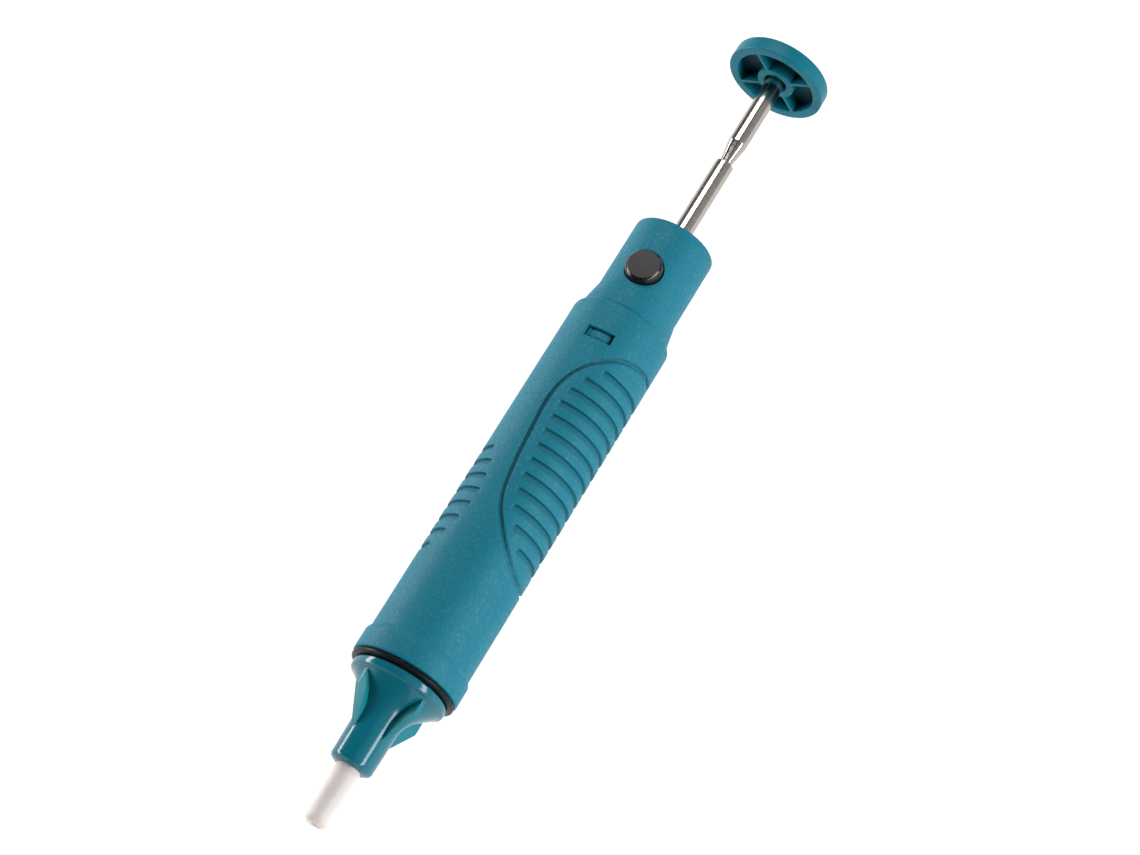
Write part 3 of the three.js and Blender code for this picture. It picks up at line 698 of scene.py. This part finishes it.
def makeNose():
    front = nose["front"]
    shell = turned("noseShell", [
        (front - nose["dome"], nose["hole"], 0.1), (front - nose["dome"] + 0.1, 3.5, 0.5), (front, 4.7, 0.5),
        (front + 0.55, nose["tube"], 0.4), (-82.15, nose["tubeRear"], 8),
        (-79.35, 5.25, 6), (-76.15, 6.75, 9), (-72.75, 10.45, 0.25), (-72.65, 10.75, 0.12),
        (-72.35, 11.18, 0.3),
        (-71.6, 11.33, 1.5), (-70.8, 11.25, 0.3), (-70.55, 10.9, 0.1), (-70.55, nose["spigot"], 0.1),
        (nose["rear"], nose["spigot"], 0.3), (nose["rear"], 8.4, 0.2), (-66.6, 8.4, 0.2),
        (-66.6, nose["chamber"], 0.3),
        (-73.4, nose["chamber"], 1), (-76.2, 5.2, 2), (-79, nose["bore"], 2),
        (front + 1.75, nose["bore"], 0.2),
        (front + 1.75, nose["hole"], 0.1)], glossTeal, sides=192, sharp=38)
    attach(shell, "nose")
    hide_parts("nose")
    fins = plate("noseFins", [
        (-84.45, 4.7), (-84.4, 5.0, 0.1), (-76.7, 10.0, 0.5), (-72.4, 10.02, 0.1), (-72.4, 9.0), (-74, 7.9),
        (-76.3, 6.0), (-79, 4.7)], nose["finThickness"], litFinTeal, 0.07)
    runTree(fins, roundRow, {"Count": nose["finCount"], "Start Angle": math.radians(nose["finStart"]),
                             "Axis Height": axisHeight * mm, "Material": litFinTeal}, sharp=45)
    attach(fins, "nose")


def makeThread():  # the round ridge that screws the nose into the barrel
    thread = dict(pitch=4.0, start=-68.2, end=-62.2, radius=10.05, wire=0.75)
    line = bpy.data.curves.new("noseThread", "CURVE")
    line.dimensions = "3D"
    line.bevel_depth = thread["wire"] * mm
    line.bevel_resolution = 4
    line.use_fill_caps = True
    spline = line.splines.new("POLY")
    count = 90
    spline.points.add(count)
    for k in range(count + 1):
        x = thread["start"] + (thread["end"] - thread["start"]) * k / count
        angle = 360 * (x - barrel["front"]) / thread["pitch"]
        spline.points[k].co = (*onAxis(x, thread["radius"], angle), 1)
    source = bpy.data.objects.new("noseThreadLine", line)
    scene.collection.objects.link(source)
    mesh = bpy.data.meshes.new_from_object(source.evaluated_get(bpy.context.evaluated_depsgraph_get()))
    bpy.data.objects.remove(source)
    ridge = makePiece("noseThread", mesh, glossTeal)
    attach(ridge, "nose")


makeNose()
makeThread()
print("nose made")


# Turned pieces: name of the piece, node it stands for, body, slot, material, sides, profile

def tube(front, rear, inner, outer, edge):
    return [(front, inner, edge), (front, outer, edge), (rear, outer, edge), (rear, inner, edge)]


def roundRing(middle, mean, wire, squash=1.0):
    steps = 20
    return [(middle + squash * wire * math.cos(2 * math.pi * k / steps),
             mean + wire * math.sin(2 * math.pi * k / steps)) for k in range(steps)]


def sealProfile():
    front, rear = nodeX("nose_o_ring")
    middle = (front + rear) / 2
    return [(front, 10.1, 0.2), (front, 11.35, 0.3), (middle - 0.3, 12.38, 0.35), (middle + 0.3, 12.38, 0.35),
            (rear, 11.35, 0.3), (rear, 10.1, 0.2)]


def nozzleProfile():
    tip, inner = nodeX("nozzle_tip")
    face = nose["front"]
    return [(tip, 1.1, 0.1), (tip, 1.95, 0.12), (tip + 0.75, 2.48, 0.35), (face - 12.5, 2.54, 4),
            (face, 2.93, 4),
            (face + 1.9, 2.93, 0.1), (face + 1.9, 3.7, 0.2), (inner, 3.7, 0.2), (inner, 1.1, 0.1)]


def rodProfile():
    front, rear = nodeX("plunger_rod")
    shoulder = 76.25
    radius = 2.3
    return [(front, 0), (front, 1.5, 0.3), (-3.1, 1.5, 0.1), (-3.1, radius, 0.2), (shoulder, radius, 0.2),
            (shoulder + 0.02, 1.35, 0.1), (shoulder + 6.3, radius, 3), (rear, radius, 0.3), (rear, 0)]


def knobProfile():
    front, back = nodeX("knob")
    floor = back - 0.75
    return [(front, 9.8, 0.2), (front, 12.07, 0.3), (back, 12.0, 0.55), (back, 0), (floor + 0.05, 0),
            (floor + 0.05, 2.55, 0.1), (front + 0.7, 2.6, 0.2), (front, 2.9, 0.15), (front, 4.63, 0.2),
            (floor, 4.75, 0.4), (floor, 9.7, 0.4)]


pistonFront, pistonRear = nodeX("piston")
capWall = 49.85
bush = nodeX("rod_bush")
bumper = nodeX("bumper_ring")
wiper = nodeX("rod_wiper")
washer = nodeX("piston_washer")
seat = nodeX("spring_seat_washer")
pin = nodeX("cleaning_pin")

turnedPieces = {
    "nozzleTip": ("nozzle_tip", "nose", "white_ptfe", ptfe, 96, nozzleProfile()),
    "nozzleSeal": ("nozzle_o_ring", "nose", "black_rubber", blackRubber, 64, roundRing(-86.4, 2.9, 0.85)),
    "noseSeal": ("nose_o_ring", "nose_seal", "black_rubber", blackRubber, 192, sealProfile()),
    "springSeatWasher": ("spring_seat_washer", "nose", "steel", plateSteel, 96, tube(*seat, 6.4, 8.15, 0.1)),
    "rodBush": ("rod_bush", "barrel", "white_ptfe", ptfe, 64, [
        (bush[0], 2.55, 0.1), (bush[0], 4.6, 0.15), (bush[0] + 0.5, 4.6, 0.1), (bush[0] + 0.5, 3.2),
        (bush[1], 3.2, 0.15), (bush[1], 2.55, 0.1)]),
    "rodWiper": ("rod_wiper", "barrel", "black_rubber", blackRubber, 64, tube(*wiper, 2.55, 4.2, 0.25)),
    "bumperRing": ("bumper_ring", "barrel", "black_rubber", blackRubber, 96, tube(*bumper, 8.4, 10.1, 0.3)),
    "plungerRod": ("plunger_rod", "rod", "steel", brightSteel, 96, rodProfile()),
    "cleaningPin": ("cleaning_pin", "rod", "steel", brightSteel, 48, [
        (pin[0], 0), (pin[0], 0.35, 0.1), (pin[0] + 1, 0.75, 0.4), (pin[1], 0.75), (pin[1], 0)]),
    "pistonBody": ("piston", "piston", "grey_plastic", greyPlastic, 128, [
        (-13.4, 10.1, 0.25), (-12.1, 10.1, 0.1), (-12.1, 8.4, 0.1), (-10.3, 8.4, 0.1), (-10.3, 10.1, 0.1),
        (-6.5, 10.1, 0.1), (-6.5, 8.4, 0.1), (-4.7, 8.4, 0.1), (-4.7, 10.1, 0.1), (pistonRear, 10.1, 0.25),
        (pistonRear, 1.7, 0.1), (pistonFront, 1.7, 0.1), (pistonFront, 5.6, 0.3), (-13.4, 5.6, 0.2)]),
    "pistonSealFront": ("piston_ring_front", "piston", "black_rubber", blackRubber, 96,
                        roundRing(-11.2, 9.42, 0.8)),
    "pistonSealRear": ("piston_ring_rear", "piston", "black_rubber", blackRubber, 96,
                       roundRing(-5.6, 9.42, 0.8)),
    "pistonWasher": ("piston_washer", "piston", "steel", plateSteel, 64, tube(*washer, 1.7, 4.2, 0.08)),
}

for name, (node, body, slot, material, sides, profile) in turnedPieces.items():
    piece = turned(name, profile, material, sides)
    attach(piece, body)
    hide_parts(node)
print("turned pieces made")


# Knob

def makeKnob():
    front, back = nodeX("knob")
    disc = turned("knobDisc", knobProfile(), knobTeal, 192)
    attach(disc, "rod")
    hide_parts("knob")
    spokes = plate("knobSpokes", [(front, 4.4), (front, 10), (back - 0.5, 10), (back - 0.5, 4.4)], 0.75,
                   knobTeal, 0.12)
    runTree(spokes, roundRow, {"Count": 4, "Start Angle": math.radians(63.4), "Axis Height": axisHeight * mm,
                               "Material": knobTeal})
    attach(spokes, "rod")


makeKnob()


# End cap, button and latch

cap = dict(neck=9.85, cone=11.05, coneFront=26.9, buttonX=38.3, button=4.35, hole=4.57, shaft=6.0,
           shaftTop=7.5)


def makeEndCap():
    front, rear = nodeX("end_cap")
    shell = turned("endCapShell", [
        (front, 8.9, 0.1), (front, 10.2, 0.2), (cap["coneFront"], 10.2, 0.05),
        (cap["coneFront"] + 0.05, cap["cone"], 0.1), (33.6, cap["neck"], 1.2),
        (rear, cap["neck"], 0.6), (rear, 3.4, 0.15), (capWall, 3.4, 0.1), (capWall, 8, 0.3), (31, 8, 1),
        (28, 8.9, 1)],
        satinTeal, sides=192)
    collar = turned("buttonShaft", [(4.4, 0), (4.4, cap["shaft"]), (cap["shaftTop"], cap["shaft"]),
                                          (cap["shaftTop"], 0)], satinTeal, 96,
                    upright=cap["buttonX"])
    drill = turned("buttonDrill", [(3, 0), (3, cap["hole"]), (14, cap["hole"]), (14, 0)], satinTeal, 96,
                   upright=cap["buttonX"])
    for tool, kind in ((collar, "UNION"), (drill, "DIFFERENCE")):
        step = shell.modifiers.new(kind, "BOOLEAN")
        step.operation = kind
        step.solver = "EXACT"
        step.object = tool
        baked(shell)
        bpy.data.objects.remove(tool)
    shell.data.materials.clear()
    shell.data.materials.append(satinTeal)
    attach(shell, "barrel")
    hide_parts("end_cap")


def makeSnapTabs():  # the two tabs of the end cap that show in the barrel's windows
    tab = dict(front=16.75, rear=18.79, inner=10.1, outer=11.2, half=14.2)
    shape = bmesh.new()
    grid = []
    for radius in (tab["inner"], tab["outer"]):
        for x in (tab["front"], tab["rear"]):
            grid.append([shape.verts.new(onAxis(x, radius, -tab["half"] + 2 * tab["half"] * k / 10)
                                         - Vector((0, 0, axisHeight * mm))) for k in range(11)])
    for a, b in ((0, 1), (1, 3), (3, 2), (2, 0)):
        for k in range(10):
            shape.faces.new((grid[a][k], grid[b][k], grid[b][k + 1], grid[a][k + 1]))
    for k in (0, 10):
        shape.faces.new((grid[0][k], grid[1][k], grid[3][k], grid[2][k]))
    shape.normal_update()
    rim = [e for e in shape.edges if e.calc_face_angle(0) > 1]
    bmesh.ops.bevel(shape, geom=rim, offset=0.15 * mm, segments=3, affect="EDGES", profile=0.5)
    mesh = bpy.data.meshes.new("snapTabs")
    shape.to_mesh(mesh)
    shape.free()
    tabs = makePiece("snapTabs", mesh, satinTeal)
    runTree(tabs, roundRow, {"Count": 2, "Start Angle": 0.0, "Axis Height": axisHeight * mm,
                             "Material": satinTeal})
    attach(tabs, "barrel")


def makeButton():
    low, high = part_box("button")
    top = high[2] / mm - axisHeight
    button = turned("buttonCap", [
        (5.0, 0), (5.0, cap["button"], 0.2), (top - 1.15, cap["button"], 0.5), (top - 0.45, 4.08, 0.4),
        (top, 3.62, 0.18), (top, 0)],
        buttonPlastic, 96, upright=cap["buttonX"])
    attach(button, "button")
    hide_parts("button")


makeEndCap()
makeSnapTabs()
makeButton()
print("end cap and button made")


# Springs

def makeSprings():
    coil = coilTree()
    front, rear = nodeX("main_spring")
    wire = 0.45
    holder = makePiece("mainSpring", bpy.data.meshes.new("mainSpring"), springSteel)
    runTree(holder, coil, {"Radius": 7.3 * mm, "Wire": wire * mm, "Length": (rear - front - 2 * wire) * mm,
                           "Turns": 13.0, "Start": ((front + wire) * mm, 0, axisHeight * mm),
                           "Material": springSteel}, sharp=60)
    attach(holder, "barrel")
    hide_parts("main_spring")
    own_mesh(holder)
    low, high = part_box("button_spring")
    height = high[2] - low[2]
    small = makePiece("buttonSpring", bpy.data.meshes.new("buttonSpring"), springSteel)
    runTree(small, coil, {"Radius": 1.9 * mm, "Wire": 0.2 * mm, "Length": height - 0.4 * mm, "Turns": 4.5,
                          "Start": (0.2 * mm, 0, 0), "Material": springSteel}, sharp=60)
    small.data.transform(Matrix.Translation((cap["buttonX"] * mm, 0, low[2])) @ Matrix.Rotation(-math.pi / 2,
                                                                                                4, "Y"))
    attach(small, "barrel")
    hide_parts("button_spring")
    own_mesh(small)


makeSprings()

for node, material in {"latch_plate": plateSteel, "piston_nut": brassBar}.items():
    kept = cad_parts[node]
    kept.data.materials.clear()
    kept.data.materials.append(material)
print("springs made")


# Studio

view = dict(lens=87.8, distance=0.614, azimuth=-53.05, elevation=61.12, roll=8.82, aim=(-0.15, -1.64, 12.09))


def makeCamera():
    lens = bpy.data.cameras.new("camera")
    lens.sensor_width = 36
    lens.lens = view["lens"]
    lens.clip_start = 0.01
    camera = bpy.data.objects.new("camera", lens)
    scene.collection.objects.link(camera)
    az, el = math.radians(view["azimuth"]), math.radians(view["elevation"])
    ahead = Vector((-math.sin(az) * math.cos(el), math.cos(az) * math.cos(el), -math.sin(el)))
    aim = Vector(view["aim"]) * mm
    camera.rotation_mode = "QUATERNION"
    camera.rotation_quaternion = (Quaternion(ahead, math.radians(view["roll"]))
                                  @ ahead.to_track_quat("-Z", "Y"))
    camera.location = aim - ahead * view["distance"]
    scene.camera = camera


def softbox(name, place, width, length, power):  # panel light, long side along the pump's axis
    data = bpy.data.lights.new(name, "AREA")
    data.shape = "RECTANGLE"
    data.size = length
    data.size_y = width
    data.energy = power
    lamp = bpy.data.objects.new(name, data)
    scene.collection.objects.link(lamp)
    back = Vector((0, place[1], place[2])).normalized()
    up = back.cross(Vector((1, 0, 0))).normalized()
    side = up.cross(back)
    lamp.matrix_world = Matrix.Translation(place) @ Matrix((side, up, back)).transposed().to_4x4()


studio = dict(room=0.08, far=0.14, near=0.3, floorGlow=0.9, right=5.6, left=6.2, panel=1.35)


def makeStudio():
    floorMesh = bpy.data.meshes.new("floor")
    edge = 4
    floorMesh.from_pydata([(-edge, -edge, 0), (edge, -edge, 0), (edge, edge, 0), (-edge, edge, 0)], [],
                          [(0, 1, 2, 3)])
    floorMesh.materials.append(whiteFloor())
    floor = bpy.data.objects.new("floor", floorMesh)
    scene.collection.objects.link(floor)
    world = bpy.data.worlds.new("studio")
    scene.world = world
    world.use_nodes = True
    tree = world.node_tree
    tree.nodes.clear()
    space = addNode(tree, "ShaderNodeTexCoord").outputs["Generated"]
    sky = addNode(tree, "ShaderNodeSeparateXYZ", inputs={0: space})
    farWall = addNode(tree, "ShaderNodeMapRange", {"interpolation_type": "SMOOTHSTEP"},  # paler past the knob
                      {"Value": sky.outputs["X"], "From Min": 0.3, "From Max": 0.6, "To Min": studio["room"],
                       "To Max": studio["room"] + studio["far"]})
    nearWall = addNode(tree, "ShaderNodeMapRange", {"interpolation_type": "SMOOTHSTEP"},  # and to the right
                       {"Value": sky.outputs["Y"], "From Min": -0.45, "From Max": -0.1,
                        "To Min": studio["near"],
                        "To Max": 0.0})
    light = addNode(tree, "ShaderNodeMath", {"operation": "ADD"},
                    {0: farWall.outputs[0], 1: nearWall.outputs[0]})
    glow = addNode(tree, "ShaderNodeBackground", inputs={"Color": (1, 1, 1, 1), "Strength": light.outputs[0]})
    addNode(tree, "ShaderNodeOutputWorld", inputs={"Surface": glow.outputs[0]})
    softbox("stripRight", (-0.13, -0.63, 0.29), 0.16, 0.93, studio["right"])
    softbox("stripLeft", (-0.13, 0.67, 0.17), 0.16, 0.93, studio["left"])
    softbox("rodPanel", (0.32, 0.13, 0.43), 0.32, 0.14, studio["panel"])


makeCamera()
makeStudio()
print("studio made")
